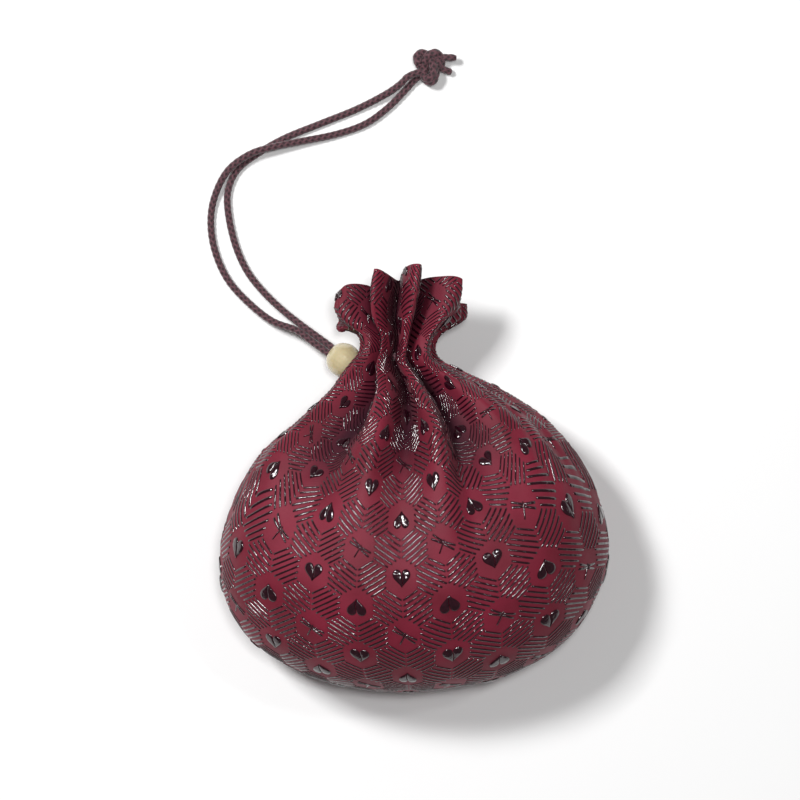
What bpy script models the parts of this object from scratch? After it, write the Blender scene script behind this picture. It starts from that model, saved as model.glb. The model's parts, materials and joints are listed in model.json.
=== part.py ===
# Kinchaku drawstring pouch, lying on its back with the neck drawn shut.
# Two leather panels and two lining panels are sewn into a round bag. One cord runs in a channel
# between them, comes out through a slot in the left seam, passes a bead and ends in a knot.
#
# Frame: +Y from the bottom of the bag to its mouth, +X to the right, +Z up from the table.
# The origin is at the middle of the bag's footprint, on the table.

import math

import bmesh
import bpy
from mathutils import Vector

mm = 0.001

# Driving dimensions, in millimetres.
leather_thick = 1.2
lining_thick = 0.5
lining_ease = 1.7
gap = 0.3
cord_diameter = 2.5
strand_spacing = 3.0
bead_diameter = 12.0
bead_hole = 6.3
bead_hole_bevel = 0.35

# The bag's section at each station along Y: the left and right sides, then the height of the middle plane.
# The first station is the point where the bottom closes.
stations = [
    # y, left, right, middle
    (-72.3, -6.0, -6.0, 26.0),
    (-69.4, -26.6, 19.9, 26.5),
    (-64.5, -40.6, 35.8, 27.0),
    (-54.5, -55.4, 51.6, 27.5),
    (-40.0, -64.2, 62.2, 28.0),
    (-24.0, -66.5, 66.7, 28.0),
    (-8.0, -63.4, 63.9, 28.0),
    (8.0, -55.6, 56.8, 28.0),
    (20.0, -42.8, 47.0, 28.0),
    (30.0, -32.0, 31.4, 27.5),
    (37.0, -25.2, 16.4, 27.0),
    (44.0, -19.0, 7.9, 26.5),
    (49.0, -19.4, 8.6, 26.0),
    (55.0, -26.0, 13.6, 25.5),
    (62.0, -28.6, 16.9, 25.0),
    (69.0, -27.4, 17.3, 24.5),
]
half_width = 66.5
height_above = 40.0
depth_below = 34.0
neck_fullness = 0.8
widest_y = -24.0
bottom_end_y = -40.0

# The pleats that the drawn cord makes: how many there are round the neck, and where they begin.
pleats = 8
pleat_depth = 0.19
pleat_turn = math.radians(90)
pleats_start_y = -5.0
pleats_full_y = 42.0
rim_rise = 3.3
rim_start_y = 55.0
rim_y = 69.0

# The lining is bunched to a thin stem where the cord holds it.
stem_radius = 3.4
stem_wall = 2.4
stem_y = 42.5
stem_half_length = 3.0
stem_reach = 24.0

# The slot in the left seam that the cord comes out of.
seam_turn = math.radians(30)
seam_turn_start_y = 15.0
seam_turn_end_y = 33.5
slot_half_angle = math.radians(36)
slot_y = 36.5
slot_reach = 10.0

# The cord's loop round the neck, and the line through the bead.
loop_centre = Vector((-5.6, 42.0, 27.0))
loop_radius = 5.3
loop_opening = math.radians(118)
loop_clearance = 0.72
loop_exit = Vector((-0.6, -0.9, 3.0))
bead_centre = Vector((-24.6, 40.9, 14.0))
bead_axis = Vector((-0.78, 0.568, -0.262)).normalized()
bead_travel = 12.0
straight_before_bead = 1.5
straight_after_travel = 2.0

# The two strands after the bead, on the table. The left one passes over the right one at the bend.
left_route = [
    (-49.6, 54.6, 5.6),
    (-58.2, 61.4, 3.2),
    (-65.0, 69.2, 1.7),
    (-69.3, 79.0, 1.4),
    (-70.7, 89.0, 1.4),
    (-69.2, 98.0, 2.0),
    (-64.6, 106.6, 3.7),
    (-57.0, 112.2, 4.2),
    (-48.6, 114.8, 4.1),
    (-38.8, 116.8, 2.6),
    (-27.0, 119.3, 1.4),
    (-17.2, 122.8, 1.4),
    (-9.6, 128.2, 1.4),
    (-3.6, 134.2, 1.4),
    (-0.4, 137.7, 1.6),
]
right_route = [
    (-46.2, 58.6, 5.6),
    (-52.8, 65.0, 3.2),
    (-58.2, 72.0, 1.7),
    (-62.2, 81.0, 1.4),
    (-64.6, 91.6, 1.4),
    (-64.7, 99.8, 1.4),
    (-61.4, 107.0, 1.4),
    (-54.0, 112.8, 1.4),
    (-44.8, 118.0, 1.4),
    (-32.4, 123.0, 1.4),
    (-20.0, 128.0, 1.4),
    (-9.8, 133.2, 2.6),
    (-4.6, 136.8, 3.9),
    (-2.0, 139.2, 4.4),
]
knot_centre = Vector((4.3, 143.6, 3.8))
knot_radii = Vector((4.8, 5.4, 3.6))
knot_tails = [
    (Vector((6.5, 145.2, 4.6)), Vector((14.0, 145.6, 4.2))),
    (Vector((6.5, 142.0, 3.0)), Vector((12.8, 140.4, 1.9))),
]

# Mesh density.
panel_columns = 24
panel_rows = 22
first_row = 0.045
point_spacing = 6.0
loop_steps = 10
straight_steps = 5
bead_rings = 12
bead_segments = 24


def clear_scene():
    for obj in list(bpy.data.objects):
        bpy.data.objects.remove(obj)


def make_material(name, colour, roughness):
    material = bpy.data.materials.new(name)
    material.use_nodes = True
    shader = material.node_tree.nodes["Principled BSDF"]
    shader.inputs["Base Color"].default_value = (*colour, 1.0)
    shader.inputs["Roughness"].default_value = roughness
    return material


def add_object(name, data, material):
    obj = bpy.data.objects.new(name, data)
    bpy.context.collection.objects.link(obj)
    data.materials.append(material)
    return obj


def ramp(x, low, high):
    t = min(max((x - low) / (high - low), 0.0), 1.0)
    return t * t * (3 - 2 * t)


def bump(x, centre, reach):
    return 1 - ramp(abs(x - centre), 0.0, reach)


def catmull_rom(a, b, c, d, t):
    """The smooth curve from b to c, a fraction t of the way."""
    return 0.5 * (2 * b + (c - a) * t + (2 * a - 5 * b + 4 * c - d) * t**2 + (3 * b - a - 3 * c + d) * t**3)


def station_at(t):
    """The stations' four values at t, which runs from 0 at the first to 1 at the last."""
    last = len(stations) - 1
    i = min(int(t * last), last - 1)
    corners = [stations[min(max(i + k, 0), last)] for k in (-1, 0, 1, 2)]
    return [catmull_rom(*column, t * last - i) for column in zip(*corners)]


def bag_point(t, angle, inset):
    """A point of the bag, inset from its outer face. Angle 0 is the right side, a quarter turn the top."""
    y, left, right, middle = station_at(t)
    width = (right - left) / 2
    fullness = (width / half_width) ** (1 if y < widest_y else neck_fullness) if width > 0 else 0.0
    fold = pleat_depth * ramp(y, pleats_start_y, pleats_full_y)
    wave = math.cos(pleats * (angle - pleat_turn))
    swell = (1 + fold * wave) / (1 + fold)
    tall = (height_above if math.sin(angle) > 0 else depth_below) * fullness
    x = (left + right) / 2 + max(width * swell - inset, 0.0) * math.cos(angle)
    z = middle + max(tall * swell - inset, 0.0) * math.sin(angle)
    y += rim_rise * wave * ramp(y, rim_start_y, rim_y) + inset * (1 - ramp(y, stations[0][0], bottom_end_y))
    return Vector((x, y, max(z, inset)))


def lining_point(t, angle, inset):
    """A point of the lining: it follows the leather in the bag, and is drawn into a stem at the neck."""
    point = bag_point(t, angle, leather_thick + lining_ease + inset)
    y = station_at(t)[0]
    stem = stem_radius - inset / lining_thick * stem_wall
    round_the_stem = Vector((
        loop_centre.x + stem * math.cos(angle),
        point.y,
        loop_centre.z + stem * math.sin(angle),
    ))
    return point.lerp(round_the_stem, 1 - ramp(abs(y - stem_y), stem_half_length, stem_reach))


def build_panel(name, front, place, thick, material):
    """Half of the bag as one sheet: an outer and an inner face, joined along the seams and the rim."""
    bm = bmesh.new()
    columns, rows = panel_columns, panel_rows
    floor = 0.0 if place is bag_point else leather_thick + lining_ease
    lift = gap / 2 * (1 if front else -1)

    def angle_at(t, fraction):
        y = station_at(t)[0]
        slot = slot_half_angle * bump(y, slot_y, slot_reach)
        left_seam = math.pi + seam_turn * ramp(y, seam_turn_start_y, seam_turn_end_y)
        start, end = (0.0, left_seam - slot) if front else (left_seam + slot, 2 * math.pi)
        return start + (end - start) * fraction

    def face_points(inset):
        # The bottom closes at one point, so the first row is a single vertex.
        pole = place(0.0, math.pi / 2, inset) + Vector((0, 0, lift))
        found = [[bm.verts.new(pole * mm)]]
        for row in range(1, rows + 1):
            t = first_row + (1 - first_row) * (row - 1) / (rows - 1)
            line = []
            for column in range(columns + 1):
                point = place(t, angle_at(t, column / columns), inset)
                point.z = max(point.z + lift, floor + inset)
                line.append(bm.verts.new(point * mm))
            found.append(line)
        return found

    outer = face_points(0.0)
    inner = face_points(thick)
    for skin, flip in ((outer, False), (inner, True)):
        for low, high in zip(skin, skin[1:]):
            for i in range(columns):
                if len(low) == 1:
                    corners = [low[0], high[i + 1], high[i]]
                else:
                    corners = [low[i], low[i + 1], high[i + 1], high[i]]
                bm.faces.new(corners[::-1] if flip else corners)
    for side in (0, -1):
        for row in range(rows):
            bm.faces.new([outer[row][side], outer[row + 1][side], inner[row + 1][side], inner[row][side]])
    for i in range(columns):
        bm.faces.new([outer[-1][i], outer[-1][i + 1], inner[-1][i + 1], inner[-1][i]])
    bmesh.ops.recalc_face_normals(bm, faces=bm.faces)
    mesh = bpy.data.meshes.new(name)
    bm.to_mesh(mesh)
    bm.free()
    mesh.shade_smooth()
    return add_object(name, mesh, material)


def smooth_route(points):
    """Points every point_spacing or less along a smooth curve through the route's own points."""
    points = [Vector(p) for p in points]
    found = []
    for i in range(len(points) - 1):
        a, b, c, d = (points[min(max(i + k, 0), len(points) - 1)] for k in (-1, 0, 1, 2))
        steps = max(1, math.ceil((c - b).length / point_spacing))
        found += [catmull_rom(a, b, c, d, k / steps) for k in range(steps)]
    return found + [points[-1]]


def build_cord(name, points, material):
    curve = bpy.data.curves.new(name, "CURVE")
    curve.dimensions = "3D"
    curve.bevel_depth = cord_diameter / 2 * mm
    curve.bevel_resolution = 2
    curve.use_fill_caps = True
    spline = curve.splines.new("POLY")
    spline.points.add(len(points) - 1)
    for target, point in zip(spline.points, points):
        target.co = (*(point * mm), 1.0)
    return add_object(name, curve, material)


def build_loop(material):
    """The part of the cord that stays in the channel, open on the left where the strands leave."""
    points = []
    for k in range(loop_steps + 1):
        angle = loop_opening * (2 * k / loop_steps - 1)
        points.append(loop_centre + loop_radius * Vector((math.cos(angle), 0, math.sin(angle))))
    return build_cord("drawstring_in_channel", points, material)


def strand_route(side):
    """One strand, from the end of the loop through the bead: side is 1 for the left one, -1 for the right."""
    across = Vector((bead_axis.y, -bead_axis.x, 0)).normalized() * -side
    start = loop_centre + loop_radius * Vector((
        math.cos(loop_opening),
        0,
        side * math.sin(loop_opening),
    ))
    tangent = Vector((-math.sin(loop_opening), 0, side * math.cos(loop_opening)))
    across *= strand_spacing / 2
    first = -bead_diameter / 2 - straight_before_bead
    length = bead_diameter + bead_travel + straight_before_bead + straight_after_travel
    along = [first + length * k / straight_steps for k in range(straight_steps + 1)]
    straight = [bead_centre + across + bead_axis * distance for distance in along]
    turning = start + tangent * loop_exit.z + Vector((loop_exit.x, loop_exit.y, 0))
    leaving = [start + tangent * loop_clearance, turning]
    return leaving + straight + (left_route if side > 0 else right_route)


def build_bead(material):
    """A ball with a hole for both strands, turned about its own axis and laid along theirs."""
    radius, hole = bead_diameter / 2, bead_hole / 2
    low = math.acos((hole + bead_hole_bevel) / radius)
    angles = [low * (2 * k / bead_rings - 1) for k in range(bead_rings + 1)]
    profile = [Vector((radius * math.cos(a), 0, radius * math.sin(a))) for a in angles]
    flat = radius * math.sin(low) - bead_hole_bevel
    profile = [Vector((hole, 0, -flat))] + profile + [Vector((hole, 0, flat))]
    bm = bmesh.new()
    ring = [bm.verts.new(p * mm) for p in profile]
    edges = [bm.edges.new((a, b)) for a, b in zip(ring, ring[1:] + ring[:1])]
    bmesh.ops.spin(bm, geom=ring + edges, axis=(0, 0, 1), cent=(0, 0, 0), steps=bead_segments, angle=math.tau)
    bmesh.ops.remove_doubles(bm, verts=bm.verts, dist=0.01 * mm)
    bmesh.ops.recalc_face_normals(bm, faces=bm.faces)
    mesh = bpy.data.meshes.new("cord_bead")
    bm.to_mesh(mesh)
    bm.free()
    mesh.shade_smooth()
    mesh.set_sharp_from_angle(angle=math.radians(35))
    bead = add_object("cord_bead", mesh, material)
    bead.location = bead_centre * mm
    bead.rotation_euler = bead_axis.to_track_quat("Z", "Y").to_euler()
    return bead


def build_knot(material):
    """An overhand knot in both strands, as one lump with two cut ends standing out of it."""
    bm = bmesh.new()
    bmesh.ops.create_uvsphere(bm, u_segments=16, v_segments=10, radius=mm)
    bmesh.ops.scale(bm, vec=knot_radii, verts=bm.verts)
    bmesh.ops.translate(bm, vec=knot_centre * mm, verts=bm.verts)
    mesh = bpy.data.meshes.new("drawstring_knot")
    bm.to_mesh(mesh)
    bm.free()
    knot = add_object("drawstring_knot", mesh, material)
    for number, (root, tip) in enumerate(knot_tails, start=1):
        bm = bmesh.new()
        bmesh.ops.create_cone(bm, cap_ends=True, segments=10, radius1=cord_diameter / 2 * mm,
                              radius2=cord_diameter / 2 * mm, depth=(tip - root).length * mm)
        tail_mesh = bpy.data.meshes.new(f"knot_tail_{number}")
        bm.to_mesh(tail_mesh)
        bm.free()
        tail = add_object(f"knot_tail_{number}", tail_mesh, material)
        tail.location = (root + tip) / 2 * mm
        tail.rotation_euler = (tip - root).to_track_quat("Z", "Y").to_euler()
        tail.hide_render = True
        tail.display_type = "WIRE"
        join = knot.modifiers.new(f"tail_{number}", "BOOLEAN")
        join.operation = "UNION"
        join.object = tail
    return knot


def main():
    clear_scene()
    leather = make_material("leather", (0.24, 0.02, 0.044), 0.6)
    lining = make_material("lining", (0.12, 0.03, 0.04), 0.85)
    cord = make_material("cord", (0.15, 0.045, 0.055), 0.75)
    bead = make_material("bead", (0.62, 0.53, 0.33), 0.25)

    build_panel("leather_front_panel", True, bag_point, leather_thick, leather)
    build_panel("leather_back_panel", False, bag_point, leather_thick, leather)
    build_panel("lining_front_panel", True, lining_point, lining_thick, lining)
    build_panel("lining_back_panel", False, lining_point, lining_thick, lining)
    build_loop(cord)
    build_cord("drawstring_strand_left", smooth_route(strand_route(1)), cord)
    build_cord("drawstring_strand_right", smooth_route(strand_route(-1)), cord)
    build_knot(cord)
    build_bead(bead)


main()
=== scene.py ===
import json
import math

import bpy
import numpy as np
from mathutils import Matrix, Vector
from mathutils.bvhtree import BVHTree


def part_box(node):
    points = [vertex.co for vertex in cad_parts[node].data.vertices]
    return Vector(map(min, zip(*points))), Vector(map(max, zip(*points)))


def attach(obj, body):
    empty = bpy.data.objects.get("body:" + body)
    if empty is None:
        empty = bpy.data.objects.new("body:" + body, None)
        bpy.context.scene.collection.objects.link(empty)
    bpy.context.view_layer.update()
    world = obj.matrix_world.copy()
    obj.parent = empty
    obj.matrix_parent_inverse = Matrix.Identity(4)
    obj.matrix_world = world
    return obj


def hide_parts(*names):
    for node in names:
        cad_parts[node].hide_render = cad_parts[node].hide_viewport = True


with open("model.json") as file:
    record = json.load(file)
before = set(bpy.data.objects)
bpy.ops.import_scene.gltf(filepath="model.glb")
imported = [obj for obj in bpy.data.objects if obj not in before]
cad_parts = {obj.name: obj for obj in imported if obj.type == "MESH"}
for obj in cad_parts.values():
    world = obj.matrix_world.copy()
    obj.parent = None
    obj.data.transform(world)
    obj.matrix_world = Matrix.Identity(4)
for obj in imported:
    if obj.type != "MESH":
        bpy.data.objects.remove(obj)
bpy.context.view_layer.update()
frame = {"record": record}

# Drawstring pouch of printed suede, lying on its back. Lengths below are millimetres.

mm = 0.001
beadBox = np.array(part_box("cord_bead")) / mm
beadCentre = beadBox.mean(axis=0)
beadRadius = (beadBox[1] - beadBox[0]).max() / 2
knotCentre = np.array(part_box("drawstring_knot")).mean(axis=0) / mm
slide = [j for j in frame["record"]["behaviour"]["joints"] if j["name"] == "bead_slide"][0]
slideAxis = np.array(slide["axis"]) / np.linalg.norm(slide["axis"])
slideReach = slide["range_m"][1] / mm


# small helpers

def ramp(x, low, high):
    t = np.clip((np.asarray(x, float) - low) / (high - low), 0, 1)
    return t * t * (3 - 2 * t)


def catmull(a, b, c, d, t):
    return 0.5 * (2 * b + (c - a) * t + (2 * a - 5 * b + 4 * c - d) * t ** 2
                  + (3 * b - a - 3 * c + d) * t ** 3)


def smoothRoute(points, step):
    points = np.array(points, float)
    last = len(points) - 1
    found = []
    for i in range(last):
        a, b, c, d = (points[min(max(i + k, 0), last)] for k in (-1, 0, 1, 2))
        count = max(1, math.ceil(np.linalg.norm(c - b) / step))
        found += [catmull(a, b, c, d, k / count) for k in range(count)]
    return np.array(found + [points[-1]])


def meshPiece(name, points, faces, material):
    mesh = bpy.data.meshes.new(name)
    mesh.from_pydata((np.asarray(points) * mm).tolist(), [], faces)
    mesh.materials.append(material)
    mesh.shade_smooth()
    piece = bpy.data.objects.new(name, mesh)
    bpy.context.collection.objects.link(piece)
    return piece


def gridFaces(rows, columns, wrap=False, flip=False):
    r, c = np.meshgrid(np.arange(rows - 1), np.arange(columns if wrap else columns - 1), indexing="ij")
    n = (c + 1) % columns
    here, above = r * columns, (r + 1) * columns
    quads = np.stack([here + c, here + n, above + n, above + c], -1).reshape(-1, 4)
    return (quads[:, ::-1] if flip else quads).tolist()


# materials

def newMaterial(name):
    material = bpy.data.materials.new(name)
    material.use_nodes = True
    return material, material.node_tree, material.node_tree.nodes["Principled BSDF"]


def addNode(tree, kind, **settings):
    node = tree.nodes.new(kind)
    for key, value in settings.items():
        if key in node.inputs:
            node.inputs[key].default_value = value
        else:
            setattr(node, key, value)
    return node


def noiseOf(tree, scale, detail=4.0, roughness=0.55):
    noise = addNode(tree, "ShaderNodeTexNoise", Scale=scale, Detail=detail, Roughness=roughness)
    tree.links.new(addNode(tree, "ShaderNodeTexCoord").outputs["Object"], noise.inputs["Vector"])
    return noise.outputs["Fac"]


def rampOf(tree, source, stops):
    node = addNode(tree, "ShaderNodeValToRGB")
    ends = node.color_ramp.elements
    while len(ends) < len(stops):
        ends.new(0.5)
    for element, (place, colour) in zip(ends, stops):
        element.position = place
        element.color = (*colour, 1)
    tree.links.new(source, node.inputs["Fac"])
    return node.outputs["Color"]


def bumpOf(tree, height, strength, distance, after=None):
    node = addNode(tree, "ShaderNodeBump", Strength=strength, Distance=distance)
    tree.links.new(height, node.inputs["Height"])
    if after:
        tree.links.new(after, node.inputs["Normal"])
    return node.outputs["Normal"]


suede = {
    "deep": (0.125, 0.006, 0.017),
    "mid": (0.165, 0.010, 0.026),
    "bright": (0.205, 0.013, 0.033),
    # colour of the painted shade deep in the folds
    "creaseShade": (0.030, 0.003, 0.010),
    "roughness": 0.60,
    "sheen": 0.10,
    "sheenTint": (1.0, 0.55, 0.62, 1),
    "grainSize": 0.6,
    "shine": 0.25,
}


def suedeMaterial():
    material, tree, shader = newMaterial("printed_suede")
    cloud = noiseOf(tree, 45, 5)
    colour = rampOf(tree, cloud, [(0.30, suede["deep"]), (0.50, suede["mid"]), (0.72, suede["bright"])])
    # painted shade: the suede colour is mixed towards dark deep in the folds
    creaseShade = addNode(tree, "ShaderNodeAttribute", attribute_name="creaseShade", attribute_type="GEOMETRY")
    dark = addNode(tree, "ShaderNodeMix", data_type="RGBA")
    tree.links.new(creaseShade.outputs["Fac"], dark.inputs["Factor"])
    tree.links.new(colour, dark.inputs["A"])
    dark.inputs["B"].default_value = (*suede["creaseShade"], 1)
    tree.links.new(dark.outputs["Result"], shader.inputs["Base Color"])
    grain = addNode(tree, "ShaderNodeTexVoronoi", Scale=1 / (suede["grainSize"] * mm),
                    feature="DISTANCE_TO_EDGE")
    tree.links.new(addNode(tree, "ShaderNodeTexCoord").outputs["Object"], grain.inputs["Vector"])
    nap = bumpOf(tree, noiseOf(tree, 2600, 2), 0.35, 0.00012)
    tree.links.new(bumpOf(tree, grain.outputs["Distance"], 0.28, 0.00018, nap), shader.inputs["Normal"])
    shader.inputs["Roughness"].default_value = suede["roughness"]
    shader.inputs["Sheen Weight"].default_value = suede["sheen"]
    shader.inputs["Sheen Roughness"].default_value = 0.45
    shader.inputs["Sheen Tint"].default_value = suede["sheenTint"]
    shader.inputs["Specular IOR Level"].default_value = suede["shine"]
    return material


lacquer = {
    "colour": (0.013, 0.001, 0.004),
    "worn": (0.030, 0.003, 0.009),
    "roughness": 0.11,
    "coat": 0.2,
    "shine": 0.7,
}


def lacquerMaterial():
    material, tree, shader = newMaterial("black_lacquer")
    colour = rampOf(tree, noiseOf(tree, 900, 3), [(0.35, lacquer["colour"]), (0.75, lacquer["worn"])])
    tree.links.new(colour, shader.inputs["Base Color"])
    fine = bumpOf(tree, noiseOf(tree, 1300, 1), 0.35, 0.0002)
    tree.links.new(bumpOf(tree, noiseOf(tree, 420, 1), 0.6, 0.0005, fine), shader.inputs["Normal"])
    shader.inputs["Roughness"].default_value = lacquer["roughness"]
    shader.inputs["Coat Weight"].default_value = lacquer["coat"]
    shader.inputs["Coat Roughness"].default_value = 0.05
    shader.inputs["Specular IOR Level"].default_value = lacquer["shine"]
    return material


stainedEdge = {"dark": (0.012, 0.003, 0.005), "light": (0.035, 0.008, 0.014), "roughness": 0.5}


def edgeMaterial():
    material, tree, shader = newMaterial("stained_edge")
    colour = rampOf(tree, noiseOf(tree, 800, 3), [(0.3, stainedEdge["dark"]), (0.7, stainedEdge["light"])])
    tree.links.new(colour, shader.inputs["Base Color"])
    shader.inputs["Roughness"].default_value = stainedEdge["roughness"]
    return material


liningCloth = {
    "dark": (0.055, 0.010, 0.016),
    "light": (0.105, 0.020, 0.030),
    "threads": 900.0,
    "roughness": 0.9,
}


def liningMaterial():
    material, tree, shader = newMaterial("lining_cloth")
    colour = rampOf(tree, noiseOf(tree, 700, 3), [(0.3, liningCloth["dark"]), (0.7, liningCloth["light"])])
    tree.links.new(colour, shader.inputs["Base Color"])
    weave = addNode(tree, "ShaderNodeTexWave", Scale=liningCloth["threads"], Distortion=1.0, Detail=1.0)
    tree.links.new(addNode(tree, "ShaderNodeTexCoord").outputs["Object"], weave.inputs["Vector"])
    tree.links.new(bumpOf(tree, weave.outputs["Fac"], 0.5, 0.0001), shader.inputs["Normal"])
    shader.inputs["Roughness"].default_value = liningCloth["roughness"]
    return material


# painted shade on the braid: colours from the gaps between the plaits, painted dark as shade, to their tops
braidShade = {
    "gap": (0.012, 0.004, 0.006),
    "side": (0.050, 0.014, 0.021),
    "top": (0.125, 0.045, 0.058),
    "sheen": 0.3,
}


def cordMaterial():
    material, tree, shader = newMaterial("braided_cord")
    # painted shade: the gaps between the plaits are coloured dark
    shade = addNode(tree, "ShaderNodeAttribute", attribute_name="braidShade", attribute_type="GEOMETRY")
    colour = rampOf(tree, shade.outputs["Fac"],
                    [(0.0, braidShade["gap"]), (0.45, braidShade["side"]), (1.0, braidShade["top"])])
    tree.links.new(colour, shader.inputs["Base Color"])
    tree.links.new(bumpOf(tree, noiseOf(tree, 5200, 3), 0.5, 0.00010), shader.inputs["Normal"])
    shader.inputs["Roughness"].default_value = 0.7
    shader.inputs["Sheen Weight"].default_value = braidShade["sheen"]
    return material


polish = {
    "dark": (0.47, 0.38, 0.21),
    "mid": (0.56, 0.48, 0.29),
    "light": (0.62, 0.55, 0.35),
    "roughness": 0.2,
}


def beadMaterial():
    material, tree, shader = newMaterial("polished_bead")
    colour = rampOf(tree, noiseOf(tree, 130, 5, 0.6),
                    [(0.3, polish["dark"]), (0.55, polish["mid"]), (0.8, polish["light"])])
    tree.links.new(colour, shader.inputs["Base Color"])
    tree.links.new(bumpOf(tree, noiseOf(tree, 500, 3), 0.06, 0.0002), shader.inputs["Normal"])
    shader.inputs["Roughness"].default_value = polish["roughness"]
    shader.inputs["Coat Weight"].default_value = 1.0
    shader.inputs["Coat Roughness"].default_value = 0.06
    shader.inputs["Subsurface Weight"].default_value = 0.15
    shader.inputs["Subsurface Radius"].default_value = (0.004, 0.0025, 0.0015)
    return material


def floorMaterial():
    material, tree, shader = newMaterial("pale_floor")
    colour = rampOf(tree, noiseOf(tree, 3, 2), [(0.0, (0.90, 0.90, 0.90)), (1.0, (0.93, 0.93, 0.93))])
    tree.links.new(colour, shader.inputs["Base Color"])
    shader.inputs["Roughness"].default_value = 0.9
    return material


# camera

view = {"centre": (-5.2, 27.2, 20.0), "width": 273.6, "distance": 1500.0, "lens": 100.0}


def buildCamera():
    data = bpy.data.cameras.new("camera")
    camera = bpy.data.objects.new("camera", data)
    bpy.context.collection.objects.link(camera)
    data.lens = view["lens"]
    data.sensor_width = view["width"] / view["distance"] * view["lens"]
    data.clip_end = 20
    camera.location = (Vector(view["centre"]) + Vector((0, 0, view["distance"]))) * mm
    bpy.context.scene.camera = camera


buildCamera()
print("camera set")


# the two free strands of the cord

cord = {
    "diameter": 2.5,
    "apart": 2.45,         # between the strands where they pass the bead
    "plaitsRound": 8,
    "plaitLength": 4.4,    # one full turn of a plait
    "plaitDepth": 0.16,
    "around": 28,
    "step": 0.16,
    "onTable": 0.05,
}
leftRoute = [
    (-49.6, 54.6, 5.6), (-58.2, 61.4, 3.2), (-65.0, 69.2, 1.7), (-69.3, 79.0, 1.4), (-70.7, 89.0, 1.4),
    (-69.2, 98.0, 2.0), (-64.6, 106.6, 3.7), (-57.0, 112.2, 4.2), (-48.6, 114.8, 4.1), (-38.8, 116.8, 2.6),
    (-27.0, 119.3, 1.4), (-17.2, 122.8, 1.4), (-9.6, 128.2, 1.4), (-3.6, 134.2, 1.4), (-0.4, 137.7, 1.6),
]
rightRoute = [
    (-46.2, 58.6, 5.6), (-52.8, 65.0, 3.2), (-58.2, 72.0, 1.7), (-62.2, 81.0, 1.4), (-64.6, 91.6, 1.4),
    (-64.7, 99.8, 1.4), (-61.4, 107.0, 1.4), (-54.0, 112.8, 1.4), (-44.8, 118.0, 1.4), (-32.4, 123.0, 1.4),
    (-20.0, 128.0, 1.4), (-9.8, 133.2, 2.6), (-4.6, 136.8, 3.9), (-2.0, 139.2, 4.4),
]


def braidedTube(name, line, material, thick=1.0, taper=False):
    line = np.array(line, float)
    lengths = np.concatenate([[0], np.cumsum(np.linalg.norm(np.diff(line, axis=0), axis=1))])
    count = max(8, int(lengths[-1] / cord["step"]))
    along = np.linspace(0, lengths[-1], count)
    centre = np.stack([np.interp(along, lengths, line[:, k]) for k in range(3)], 1)
    tangent = np.gradient(centre, axis=0)
    tangent /= np.linalg.norm(tangent, axis=1)[:, None]
    side = np.cross(tangent[0], (0, 0, 1.0) if abs(tangent[0][2]) < 0.9 else (1.0, 0, 0))
    sides = []
    for t in tangent:      # carried along without twist
        side = side - t * np.dot(side, t)
        side /= np.linalg.norm(side)
        sides.append(side)
    sides = np.array(sides)
    ups = np.cross(tangent, sides)
    n = cord["around"]
    angle = np.arange(n) / n * 2 * math.pi
    a, s = np.meshgrid(angle, along)
    turn = s / cord["plaitLength"] * 2 * math.pi
    k = cord["plaitsRound"] / 2
    left, right = np.cos(k * a + turn * 2), np.cos(k * a - turn * 2)
    over = np.sin(k * a) * 0.35
    relief = np.maximum(left + over, right - over)
    relief = np.clip((relief + 0.4) / 1.75, 0, 1) ** 0.8
    radius = (cord["diameter"] / 2 - cord["plaitDepth"] * (1 - relief) * 1.2) * thick
    if taper:
        radius = radius * (1 - 0.25 * ramp(s, lengths[-1] - 0.8, lengths[-1]))
    points = centre[:, None] + radius[..., None] * (
        np.cos(a)[..., None] * sides[:, None] + np.sin(a)[..., None] * ups[:, None])
    points[..., 2] = np.maximum(points[..., 2], cord["onTable"])
    faces = gridFaces(count, n, wrap=True, flip=True)
    faces += [list(range(n)), [(count - 1) * n + i for i in range(n)][::-1]]
    piece = meshPiece(name, points.reshape(-1, 3), faces, material)
    # the plaits' relief, which the cord material turns into painted shade in the gaps
    shade = piece.data.attributes.new("braidShade", "FLOAT", "POINT")
    shade.data.foreach_set("value", relief.reshape(-1).astype(np.float32))
    return piece, lengths[-1]


def strandRoute(side, tail):
    across = np.array([slideAxis[1], -slideAxis[0], 0])
    across *= -side * cord["apart"] / 2 / np.linalg.norm(across)
    back = beadCentre + across - slideAxis * 7.5
    start = np.array([back[0] + 4.5, back[1] + 2.0, back[2] + 1.5 + side * 1.0])
    straight = [beadCentre + across + slideAxis * s for s in (-7.5, -3.0, 3.0, 9.0, 14.0, 20.0)]
    return [start] + straight + tail


cordCloth = cordMaterial()
strands = []
for strandName, side, tail in (("strand_left", 1, leftRoute), ("strand_right", -1, rightRoute)):
    route = smoothRoute(strandRoute(side, tail) + [knotCentre + (-2.6, -2.2, side * -0.6)], 0.8)
    strand, strandLength = braidedTube(strandName, route, cordCloth)
    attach(strand, "pouch")
    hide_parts("drawstring_" + strandName)
    strands.append((strand, route, strandLength))
print("strands laid", [round(s[2], 1) for s in strands])


# the knot in both ends

knot = {
    "size": (4.3, 5.3, 2.6),
    "thick": 1.22,
    "turns": [(-2.2, -0.2, 1.1), (-1.6, -1.2, 0.1)],
    "tails": [
        [(2.0, 143.5, 4.0), (6.5, 144.9, 4.6), (10.5, 145.6, 4.5), (14.2, 145.4, 4.0)],
        [(2.0, 143.0, 3.0), (6.5, 142.4, 3.2), (9.8, 141.6, 2.6), (12.6, 140.6, 2.0)],
    ],
}


def knotLine(offset):
    t = np.linspace(-0.15, 2 * math.pi - 1.15, 60) + 0.6
    x, y, z = np.sin(t) + 2 * np.sin(2 * t), np.cos(t) - 2 * np.cos(2 * t), -np.sin(3 * t)
    return np.stack([x, y, z], 1) / 3 * np.array(knot["size"]) + knotCentre + np.array(offset)


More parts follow.
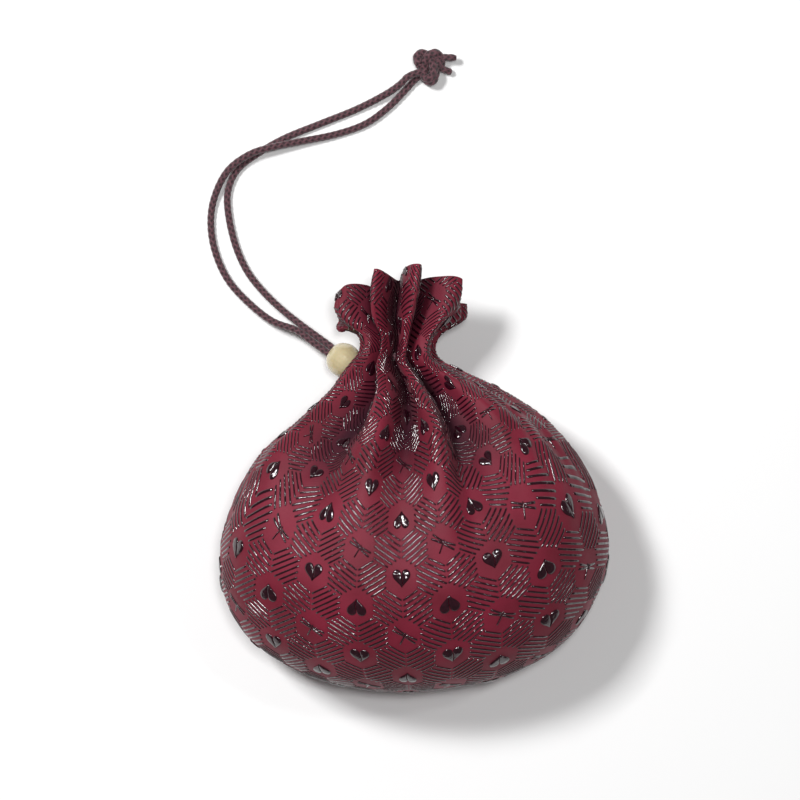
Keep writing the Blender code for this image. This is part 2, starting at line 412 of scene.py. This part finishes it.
knotPieces = []
for number, offset in enumerate(knot["turns"], start=1):
    turn, _ = braidedTube(f"knot_turn_{number}", knotLine(offset), cordCloth, thick=knot["thick"])
    knotPieces.append(turn)
for number, line in enumerate(knot["tails"], start=1):
    tail, _ = braidedTube(f"knot_tail_{number}", smoothRoute(line, 0.5), cordCloth, taper=True)
    knotPieces.append(tail)
for piece in knotPieces:
    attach(piece, "pouch")
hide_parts("drawstring_knot")
print("knot tied")


# the bead keeps its own solid
bead = bpy.data.objects["cord_bead"]
bead.data.materials.clear()
bead.data.materials.append(beadMaterial())


# the bag

bag = {
    # along the bag: y, left side, right side, height of the middle plane
    "stations": [
        (-72.3, -6.0, -6.0, 26.0), (-69.4, -26.6, 19.9, 26.5), (-64.5, -40.6, 35.8, 27.0),
        (-54.5, -55.4, 51.6, 27.5), (-40.0, -64.2, 62.2, 28.0), (-24.0, -66.5, 66.7, 28.0),
        (-8.0, -63.4, 63.9, 28.0), (8.0, -55.9, 56.8, 28.0), (20.0, -43.6, 47.2, 28.0),
        (30.0, -32.4, 32.2, 27.5), (36.5, -26.5, 18.4, 27.0), (40.4, -22.8, 10.2, 26.8),
        (44.0, -20.0, 7.6, 26.5), (49.0, -20.4, 8.9, 26.0), (55.0, -27.0, 14.6, 25.5),
        (62.0, -29.4, 18.4, 25.0), (69.0, -28.0, 18.6, 24.5),
    ],
    "halfWidth": 66.5,
    "above": 40.0,         # from the middle plane to the front and the back of the belly
    "below": 34.0,
    "fullness": 0.8,
    "deepest": 0.82,       # share of the way in that a fold may reach
    "flatBend": 3.0,       # how softly the underside meets the table
    "onTable": 0.25,
    "beadGap": 0.35,
    "rowsEach": 14,
    "columns": 216,
    "leather": 1.0,
}
# each ridge and valley in degrees round the bag, at these heights y, then how deep it is
foldLevels = (68.0, 46.0, 31.0, 10.0)
folds = [
    # rim, neck, shoulder, belly, depth
    ("valley", 4, 2, 8, 8, 0.2),
    ("ridge", 29, 46, 50, 46, 1.0),
    ("valley", 60, 62, 75, 72, 1.15),
    ("ridge", 76, 78, 87, 81, 1.0),
    ("valley", 94, 96, 100, 95, 1.1),
    ("ridge", 111, 112, 110, 107, 1.0),
    ("valley", 128, 125, 128, 126, 1.15),
    ("ridge", 159, 141, 153, 151, 1.0),
    ("valley", 184, 168, 178, 180, 0.25),
    ("ridge", 206, 203, 205, 205, 1.0),
    ("valley", 224, 222, 224, 224, 1.0),
    ("ridge", 240, 240, 242, 242, 0.9),
    ("valley", 258, 258, 259, 259, 1.1),
    ("ridge", 275, 275, 275, 275, 1.0),
    ("valley", 292, 292, 291, 291, 1.0),
    ("ridge", 309, 309, 307, 307, 0.9),
    ("valley", 327, 327, 324, 324, 1.1),
    ("ridge", 345, 345, 343, 343, 1.0),
]
# the depth of the valleys along the bag: y, depth
foldDepth = [(-50.0, 0.0), (-36.0, 0.5), (-22.0, 1.5), (-10.0, 3.0), (0.0, 5.2), (10.0, 8.5), (20.0, 12.0),
             (31.0, 15.0), (38.0, 13.5), (45.0, 11.0), (52.0, 12.5), (60.0, 14.5), (69.0, 15.0)]
# the leather hidden inside the folds, which only the print's flat map counts
hiddenFold = [(-16.0, 0.0), (0.0, 3.0), (10.0, 5.0), (20.0, 6.5), (31.0, 8.0), (45.0, 10.0),
              (60.0, 5.0), (69.0, 4.0)]
# the rim's height round the mouth: degrees, y
rimLine = [
    (0, 58.5), (8, 60.4), (15, 62.8), (22, 66.2), (30, 68.8), (38, 69.4), (48, 69.0), (56, 68.0),
    (61, 67.2), (64, 69.4), (69, 72.4), (76, 73.4), (84, 72.8), (89, 71.0), (92, 68.4), (95, 67.2),
    (102, 69.0), (107, 71.2), (112, 71.7), (118, 71.3), (122, 70.0), (125, 66.0), (128, 62.4),
    (134, 64.6), (142, 66.8), (150, 66.6), (158, 63.8), (166, 59.4), (174, 55.6), (184, 54.2),
    (206, 56.0), (240, 62.0), (275, 64.0), (309, 62.0), (345, 60.0), (360, 58.5),
]
seams = {"leftTurn": 22.0, "rightTurn": -8.0, "groove": 0.7, "width": 1.2}


bottomY, topY = bag["stations"][0][0], bag["stations"][-1][0]


def stationValues(v):
    table = np.array(bag["stations"])
    mirrored = table[1].copy()
    mirrored[1], mirrored[2] = table[1][2], table[1][1]
    mirrored[0] = table[1][0]
    table = np.vstack([mirrored, table, 2 * table[-1] - table[-2]])
    i = np.clip(np.floor(v).astype(int), 0, len(bag["stations"]) - 2)
    t = (v - i)[..., None]
    return catmull(table[i], table[i + 1], table[i + 2], table[i + 3], t)


def foldShape(theta, y):
    # how high each point stands between valley and ridge, from 0 to 1, and how deep its valley is
    angles = np.stack([np.interp(y, foldLevels[::-1], f[4:0:-1]) for f in folds], -1)
    ahead = np.concatenate([angles - angles[..., :1], np.full(angles.shape[:-1] + (1,), 360.0)], -1)
    turned = (np.degrees(theta) - angles[..., 0]) % 360
    index = (turned[..., None] >= ahead[..., 1:]).sum(-1).clip(0, len(folds) - 1)
    low = np.take_along_axis(ahead, index[..., None], -1)[..., 0]
    high = np.take_along_axis(ahead, index[..., None] + 1, -1)[..., 0]
    part = (turned - low) / (high - low)
    strength = np.array([f[5] for f in folds] + [folds[0][5]])
    depth = strength[index] * (1 - part) + strength[index + 1] * part
    return (1 - np.cos((index + part) * math.pi)) / 2, depth


def alongTable(y, table):
    return np.interp(y, *np.array(table).T)


def bagSurface(theta, v, inset=0.0, hidden=0.0):
    values = stationValues(v)
    y, left, right, middle = (values[..., k] for k in range(4))
    width = (right - left) / 2
    fullness = (width / bag["halfWidth"]).clip(0, 2) ** np.where(y < -24, 1.0, bag["fullness"])
    hill, strength = foldShape(theta, y)
    sharp = ramp(y, 8, 40)
    hill = hill ** (1 - 0.42 * sharp)
    drop = alongTable(y, foldDepth) * strength * (1 - hill)
    drop = drop - hidden * alongTable(y, hiddenFold) * hill
    # soft uneven wrinkles that spread from the neck, and slow dents over the belly
    spread = ramp(y, -20, 25) * (1 - ramp(y, 50, 66) * 0.3)
    wrinkles = (0.35 * np.sin(31 * theta + 0.045 * y + 1.0) + 0.30 * np.sin(23 * theta - 0.03 * y)
                + 0.22 * np.sin(47 * theta + 0.02 * y + 2.0)) * spread * 0.8
    belly = np.sin(3 * theta + 0.05 * y) * 0.5 + np.sin(5 * theta - 0.07 * y + 1.0) * 0.35
    soft = np.sin(y / 4.1 + 2.0 * np.sin(5 * theta)) * np.sin(13 * theta + 1.4 * np.sin(y / 9 + 1))
    soft = soft + 0.7 * np.sin(y / 6.3 - 7 * theta + 2) * np.sin(9 * theta - y / 15)
    belly = (belly + 0.22 * soft) * ramp(y, -70, -45) * (1 - ramp(y, 20, 40))
    seamR, seamL = seamAngles(y)
    near = np.minimum(np.abs(angleGap(theta, seamR)), np.abs(angleGap(theta, seamL))) * np.maximum(width, 3)
    groove = seams["groove"] * np.exp(-(near / seams["width"]) ** 2) * ramp(y, -72, -66)
    shrink = drop + groove - wrinkles - belly + inset
    tall = np.where(np.sin(theta) > 0, bag["above"], bag["below"]) * fullness
    shrink = np.minimum(shrink, np.minimum(width, tall) * bag["deepest"])
    x = (left + right) / 2 + (width - shrink) * np.cos(theta)
    z = middle + (tall - shrink) * np.sin(theta)
    rimY = sum(alongTable((np.degrees(theta) + blur) % 360, rimLine) for blur in (-3, -1, 1, 3)) / 4
    y = y + (rimY - topY) * ramp(y, 48, topY)
    y = y + inset * (1 - ramp(y, bottomY, -40))
    # the bag flattens where it lies
    bend = bag["flatBend"]
    z = np.where(z < bend, bend * np.exp((z - bend) / bend).clip(0, 1), z) - 0.35
    z = np.maximum(z, bag["onTable"]) + inset * (z < 8)
    points = np.stack([x, y, z], -1)
    # it gives way round the bead, over all of its travel
    along = np.clip((points - beadCentre) @ slideAxis, 0, slideReach)[..., None]
    away = points - (beadCentre + along * slideAxis)
    distance = np.linalg.norm(away, axis=-1)[..., None]
    need = beadRadius + bag["beadGap"]
    return np.where(distance < need, points + away / distance * (need - distance), points)


def creaseShadeOf(theta, v):
    # how much painted shade each point gets down in a fold, from 0 to 1
    y = stationValues(v)[..., 0]
    hill, strength = foldShape(theta, y)
    deep = alongTable(y, foldDepth) * strength
    return ((1 - hill) ** 1.6 * ramp(deep, 3.0, 12.0)).clip(0, 1)


def angleGap(a, b):
    return (a - b + math.pi) % (2 * math.pi) - math.pi


def seamAngles(y):
    turn = ramp(y, 12, 36)
    return np.radians(seams["rightTurn"]) * turn, math.pi + np.radians(seams["leftTurn"]) * turn


def panelAngles(fraction, v, front):
    y = stationValues(v)[..., 0]
    right, left = seamAngles(y)
    start, end = (right, left) if front else (left, right + 2 * math.pi)
    return start + (end - start) * fraction


def panelPoints(fraction, v, front, inset=0.0, hidden=0.0):
    return bagSurface(panelAngles(fraction, v, front), v, inset, hidden)


topV = len(bag["stations"]) - 1.0


def buildPanel(name, front, material):
    rows, columns = int(topV * bag["rowsEach"]) + 1, bag["columns"]
    v, f = np.meshgrid(np.linspace(0.0, topV, rows), np.linspace(0, 1, columns), indexing="ij")
    points = panelPoints(f, v, front)
    piece = meshPiece(name, points.reshape(-1, 3), gridFaces(rows, columns, flip=True), material)
    # painted shade for the folds, kept on each point for the suede material
    creaseShade = piece.data.attributes.new("creaseShade", "FLOAT", "POINT")
    creaseShade.data.foreach_set("value", creaseShadeOf(panelAngles(f, v, front), v).reshape(-1).astype(np.float32))
    piece.data.materials.append(edgeLook)
    skin = piece.modifiers.new("thickness", "SOLIDIFY")
    skin.thickness = bag["leather"] * mm
    skin.offset = -1
    skin.material_offset_rim = 1
    return piece


suedeLook, edgeLook = suedeMaterial(), edgeMaterial()
panels = []
for name, front in (("leather_front", True), ("leather_back", False)):
    panel = buildPanel(name, front, suedeLook)
    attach(panel, "pouch")
    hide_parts(f"{name}_panel")
    panels.append(panel)
print("leather shells made")


# the lining shows only inside the mouth

lining = {"inset": 1.5, "rows": 90, "columns": 110, "shorter": 0.12, "share": 0.93}


def buildLining(name, front, material):
    rows, columns = lining["rows"], lining["columns"]
    v, f = np.meshgrid(np.linspace(0.3, topV - lining["shorter"], rows), np.linspace(0, 1, columns),
                       indexing="ij")
    points = panelPoints(f, v, front, lining["inset"])
    return meshPiece(name, points.reshape(-1, 3), gridFaces(rows, columns, flip=True), material)


liningLook = liningMaterial()
linings = []
for name, front in (("lining_front", True), ("lining_back", False)):
    piece = buildLining(name, front, liningLook)
    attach(piece, "pouch")
    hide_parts(f"{name}_panel")
    linings.append(piece)
print("lining made")


# the cord's loop in the channel, drawn tight round the neck and hidden by the folds

loop = {"centre": (-5.6, 42.0, 27.0), "radius": 3.2, "halfTurn": 118}
loopX, loopY, loopZ = loop["centre"]
loopLine = [(loopX + loop["radius"] * math.cos(a), loopY, loopZ + loop["radius"] * math.sin(a))
            for a in np.radians(np.linspace(loop["halfTurn"], -loop["halfTurn"], 40))]
ends = [route[0] for _, route, _ in strands]
channelCord, _ = braidedTube("cord_in_channel", smoothRoute([ends[0], *loopLine, ends[1]], 0.8), cordCloth)
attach(channelCord, "pouch")
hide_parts("drawstring_in_channel")


# the print: six-sided cells on the flat leather, carried onto the folded bag

pattern = {
    "pitch": 11.0,         # from cell to cell
    "gap": 0.26,
    "closer": 1.06,
    "turn": 3.5,
    "lean": 0.0085,        # how fast the cells lean to the neck, from this y and over this far
    "leanFrom": -10.0,
    "leanMost": 26.0,
    "lines": 7,
    "lineWidth": 0.72,
    "lineHeight": 0.19,
    "sample": 1.1,
    "heart": (7.0, 6.2),
    "heartHeight": 0.5,
    "wing": 4.3,
    "wingWidth": 0.8,
    "anchor": (-3.7, -31.9),   # an upright heart stands here on the front
    "onTable": 0.04,
}


def flatMap(front):
    rows, columns = 84, 72
    vs, fs = np.linspace(0.35, topV, rows), np.linspace(0, 1, columns)
    v, f = np.meshgrid(vs, fs, indexing="ij")
    points = panelPoints(f, v, front, hidden=1.0).reshape(-1, 3)
    faces = gridFaces(rows, columns)
    guide = meshPiece("flat_guide", points, faces, bpy.data.materials.new("guide"))
    bpy.context.view_layer.objects.active = guide
    guide.select_set(True)
    guide.data.uv_layers.new(name="flat")
    bpy.ops.object.mode_set(mode="EDIT")
    bpy.ops.mesh.select_all(action="SELECT")
    bpy.ops.uv.unwrap(method="MINIMUM_STRETCH", margin=0.0, fill_holes=False)
    bpy.ops.object.mode_set(mode="OBJECT")
    mesh = guide.data
    uv = np.zeros(len(mesh.loops) * 2, np.float32)
    mesh.uv_layers["flat"].data.foreach_get("uv", uv)
    loops = np.zeros(len(mesh.loops), np.int32)
    mesh.loops.foreach_get("vertex_index", loops)
    flat = np.zeros((len(points), 2))
    flat[loops] = uv.reshape(-1, 2)
    bpy.data.objects.remove(guide)
    # true size and turn, fitted over the belly
    belly = (v.reshape(-1) > 2.5) & (v.reshape(-1) < 7.5) & (np.abs(f.reshape(-1) - 0.5) < 0.16)
    target = points[belly][:, :2] * ((1, 1) if front else (-1, 1))
    a, b = flat[belly] - flat[belly].mean(0), target - target.mean(0)
    u, _, w = np.linalg.svd(a.T @ b)
    turnMatrix = u @ w
    scale = math.sqrt(areaOf(points, faces) / areaOf(np.c_[flat, np.zeros(len(flat))], faces))
    flat = (flat - flat[belly].mean(0)) @ turnMatrix * scale + target.mean(0)
    # the drawn cord pulls the leather together, so the cells stand closer and lean to the neck
    lean = math.radians(pattern["turn"]) if front else 0.0
    x = flat[:, 0] * math.cos(lean) + flat[:, 1] * math.sin(lean)
    y = flat[:, 1] * math.cos(lean) - flat[:, 0] * math.sin(lean)
    above = y - pattern["leanFrom"]
    far = np.sqrt(above ** 2 + 144)
    gathered = pattern["leanMost"] * np.tanh((above + far) / 2 / pattern["leanMost"])
    rate = (1 + above / far) / 2 * (1 - (gathered / pattern["leanMost"]) ** 2)
    flat[:, 0] = (x * pattern["closer"] + 2.2 * np.tanh(x / 20)) * (1 + pattern["lean"] * gathered)
    flat[:, 1] = y - pattern["lean"] / 2 * x ** 2 * rate
    if front:
        rightward = x.clip(0, 85)
        flat[:, 0] -= 0.11 * rightward
        flat[:, 1] -= 0.075 * rightward + 0.0008 * rightward ** 2
        flat[:, 1] -= 0.09 * (y + 32) * np.exp(-(x / 18) ** 2)
    quads = np.array(faces)
    triangles = np.concatenate([quads[:, [0, 1, 2]], quads[:, [0, 2, 3]]])
    tree = BVHTree.FromPolygons([(x, y, 0) for x, y in flat], triangles.tolist())
    return {"flat": flat, "triangles": triangles, "tree": tree, "v": v.reshape(-1), "f": f.reshape(-1),
            "front": front, "points": points}


def areaOf(points, quads):
    q = np.asarray(points)[np.array(quads)]
    return (np.linalg.norm(np.cross(q[:, 2] - q[:, 0], q[:, 3] - q[:, 1]), axis=1) / 2).sum()


def intoParameters(guide, flat):
    found = np.zeros((len(flat), 2))
    valid = np.zeros(len(flat), bool)
    for i, (x, y) in enumerate(flat):
        _, _, index, distance = guide["tree"].find_nearest((x, y, 0))
        if index is None or distance > 0.05:
            continue
        t = guide["triangles"][index]
        a, b, c = guide["flat"][t]
        m = np.array([b - a, c - a]).T
        det = m[0, 0] * m[1, 1] - m[0, 1] * m[1, 0]
        dx, dy = x - a[0], y - a[1]
        s = (dx * m[1, 1] - dy * m[0, 1]) / det
        q = (m[0, 0] * dy - m[1, 0] * dx) / det
        weights = np.array([1 - s - q, s, q])
        found[i] = weights @ guide["v"][t], weights @ guide["f"][t]
        valid[i] = True
    return found, valid


def surfaceWithNormals(guide, parameters):
    v = parameters[:, 0].clip(0.01, topV - 0.01)[:, None]
    f = parameters[:, 1].clip(0.002, 0.998)[:, None]
    front = guide["front"]
    here = panelPoints(f, v, front)[:, 0]
    alongF = panelPoints(f + 0.001, v, front)[:, 0] - here
    alongV = panelPoints(f, v + 0.004, front)[:, 0] - here
    normal = np.cross(alongV, alongF)
    normal /= np.linalg.norm(normal, axis=1)[:, None] + 1e-12
    return here, normal


def clipToCell(centre, direction, offset):
    apothem = pattern["pitch"] / 2 - pattern["gap"]
    normal = np.array([-direction[1], direction[0]])
    start = centre + normal * offset
    low, high = -1e9, 1e9
    for k in range(6):
        edge = np.array([math.cos(k * math.pi / 3), math.sin(k * math.pi / 3)])
        room, rate = apothem - (start - centre) @ edge, direction @ edge
        if abs(rate) < 1e-9:
            if room < 0:
                return None
            continue
        if rate > 0:
            high = min(high, room / rate)
        else:
            low = max(low, room / rate)
    return (start + direction * low, start + direction * high) if high - low > 1.5 else None


def strokeOf(points, width, height):
    points = np.array(points)
    lengths = np.concatenate([[0], np.cumsum(np.linalg.norm(np.diff(points, axis=0), axis=1))])
    count = max(3, int(lengths[-1] / pattern["sample"]) + 1)
    at = np.linspace(0, lengths[-1], count)
    end = min(0.12, lengths[-1] / 5)
    at = np.concatenate([[0, end], at[1:-1], [lengths[-1] - end, lengths[-1]]])
    line = np.stack([np.interp(at, lengths, points[:, k]) for k in range(2)], 1)
    tangent = np.gradient(line, axis=0)
    tangent /= np.linalg.norm(tangent, axis=1)[:, None]
    side = np.stack([-tangent[:, 1], tangent[:, 0]], 1)
    taper = np.ones(len(at))
    taper[[0, -1]] = 0.35
    across, tall = np.array([-0.5, -0.32, 0, 0.32, 0.5]), np.array([-0.3, 0.78, 1.0, 0.78, -0.3])
    flat = line[:, None] + side[:, None] * (across[None, :, None] * width * taper[:, None, None])
    up = tall[None] * height * np.where(taper < 1, 0.2, 1.0)[:, None]
    return flat.reshape(-1, 2), up.reshape(-1), gridFaces(len(at), 5, flip=True)


def heartOutline(count=40):
    t = np.linspace(0, 2 * math.pi, count, endpoint=False)
    x = 16 * np.sin(t) ** 3
    y = 13 * np.cos(t) - 5 * np.cos(2 * t) - 2 * np.cos(3 * t) - np.cos(4 * t)
    wide, tall = pattern["heart"]
    return np.stack([x / 32 * wide, (y + 2.5) / 29 * tall], 1)


def heartOf(centre, upright):
    outline = heartOutline()
    parts = []
    for side in (1, -1):
        slitY = np.linspace(outline[len(outline) // 2][1], outline[0][1], 9)
        slit = np.stack([0.42 * np.sin((slitY - slitY[0]) / (slitY[-1] - slitY[0]) * math.pi), slitY], 1)
        slit[:, 0] += 0.03 * side
        edge = [p for p in outline if p[0] * side > 0.05]
        ring = np.array(edge + list(slit[1:-1][::side]))
        middle = ring.mean(0)
        loops = [(1.0, -0.2), (0.97, 0.35), (0.88, 0.7), (0.7, 0.92), (0.4, 1.0)]
        flat = np.concatenate([middle + (ring - middle) * s for s, _ in loops] + [middle[None]])
        up = np.concatenate([np.full(len(ring), h) for _, h in loops] + [[1.03]]) * pattern["heartHeight"]
        n, last = len(ring), (len(loops) - 1) * len(ring)
        faces = gridFaces(len(loops), n, wrap=True)
        faces += [[last + i, last + (i + 1) % n, last + n] for i in range(n)]
        if not upright:
            flat = -flat
        parts.append((flat + centre, up, faces))
    return parts


def dragonflyOf(centre):
    wingAxis, bodyAxis = math.radians(-30), math.radians(240)
    ahead = np.array([math.cos(bodyAxis), math.sin(bodyAxis)])
    aside = np.array([math.cos(wingAxis), math.sin(wingAxis)])
    width, height, reach = pattern["wingWidth"], pattern["lineHeight"] * 1.3, pattern["wing"]
    strokes = [([centre - ahead * 1.5, centre + ahead * 3.4], width * 0.75, height)]
    for side in (1, -1):
        for lean in (-0.55, 0.38):
            root = centre + aside * side * 0.35 - ahead * 0.35 + ahead * lean * 0.7
            strokes.append(([root, root + aside * side * reach + ahead * lean * 0.9], width, height))
    return [strokeOf(*s) for s in strokes]


def latticeParts(flat, origin):
    pitch = pattern["pitch"]
    parts = []
    low, high = flat.min(0) - pitch, flat.max(0) + pitch
    reach = int(max(high - low) / pitch) + 6
    for i in range(-2 * reach, 2 * reach):
        for j in range(-reach, reach):
            centre = origin + np.array([i * pitch + j * pitch / 2, j * pitch * math.sqrt(3) / 2])
            if (centre < low).any() or (centre > high).any():
                continue
            kind = (i - j) % 3
            if kind:
                tilt = math.radians(-30 if kind == 1 else 30)
                direction = np.array([math.cos(tilt), math.sin(tilt)])
                room = pitch / 2 - pattern["gap"] - pattern["lineWidth"] / 2
                for offset in np.linspace(-room, room, pattern["lines"]):
                    ends = clipToCell(centre, direction, offset)
                    if ends:
                        parts.append(strokeOf(ends, pattern["lineWidth"], pattern["lineHeight"]))
                continue
            # every third cell holds a figure: dragonfly, heart and turned heart in turn along its row
            figure = i % 3
            if figure == 0:
                parts += dragonflyOf(centre)
            else:
                parts += heartOf(centre, figure == 2)
    return parts


def buildPrint(name, front, material):
    guide = flatMap(front)
    origin = np.zeros(2)
    if front:
        nearest = np.argmin(np.hypot(*(guide["points"][:, :2] - pattern["anchor"]).T))
        # from the anchor's heart back to the dragonfly that the cells are counted from
        origin = guide["flat"][nearest] - np.array([3 * pattern["pitch"], pattern["pitch"] * math.sqrt(3)])
    parts = latticeParts(guide["flat"], origin)
    allFlat = np.concatenate([p[0] for p in parts])
    allUp = np.concatenate([p[1] for p in parts])
    parameters, valid = intoParameters(guide, allFlat)
    here, normal = surfaceWithNormals(guide, parameters)
    points = here + normal * allUp[:, None]
    points[:, 2] = np.maximum(points[:, 2], pattern["onTable"])
    faces, base = [], 0
    for flat, up, own in parts:
        ok = valid[base:base + len(flat)]
        for face in own:
            if ok[list(face)].all():
                a, b, c = flat[face[0]], flat[face[1]], flat[face[2]]
                turned = (b[0] - a[0]) * (c[1] - a[1]) < (b[1] - a[1]) * (c[0] - a[0])
                faces.append([k + base for k in (face[::-1] if turned else face)])
        base += len(flat)
    used = np.unique(np.concatenate([np.array(face) for face in faces]))
    number = np.full(len(points), -1)
    number[used] = np.arange(len(used))
    faces = [[int(number[k]) for k in face] for face in faces]
    piece = meshPiece(name, points[used], faces, material)
    print(name, "has", len(faces), "faces")
    return piece


lacquerLook = lacquerMaterial()
for name, front in (("print_front", True), ("print_back", False)):
    piece = buildPrint(name, front, lacquerLook)
    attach(piece, "pouch")
print("print laid on")

# how much leather there is, measured on the folded surface
for panel, inner in zip(panels, linings):
    v, f = np.meshgrid(np.linspace(0.05, topV, 120), np.linspace(0, 1, 120), indexing="ij")
    area = areaOf(panelPoints(f, v, panel is panels[0]).reshape(-1, 3), gridFaces(120, 120)) * mm * mm


# floor and light

floorMesh = bpy.data.meshes.new("floor")
floorMesh.from_pydata([(-3, -3, 0), (3, -3, 0), (3, 3, 0), (-3, 3, 0)], [], [(0, 1, 2, 3)])
floorMesh.materials.append(floorMaterial())
floor = bpy.data.objects.new("floor", floorMesh)
bpy.context.collection.objects.link(floor)

lights = [
    # name, place, size, watts
    ("window_light", (-0.60, 0.50, 1.20), 0.26, 15.5),
    ("ceiling_light", (0.10, 0.15, 1.90), 0.24, 12.5),
    ("side_light", (0.60, 0.35, 1.30), 0.10, 1.6),
]
worldLight = 0.11
for name, place, size, watts in lights:
    data = bpy.data.lights.new(name, "AREA")
    data.size = size
    data.energy = watts
    light = bpy.data.objects.new(name, data)
    light.location = place
    light.rotation_euler = (Vector((0, 0, 0.02)) - Vector(place)).to_track_quat("-Z", "Y").to_euler()
    bpy.context.collection.objects.link(light)
world = bpy.data.worlds.new("studio")
world.use_nodes = True
world.node_tree.nodes["Background"].inputs["Color"].default_value = (1, 1, 1, 1)
world.node_tree.nodes["Background"].inputs["Strength"].default_value = worldLight
bpy.context.scene.world = world
bpy.context.scene.view_settings.view_transform = "Standard"
print("lights set")
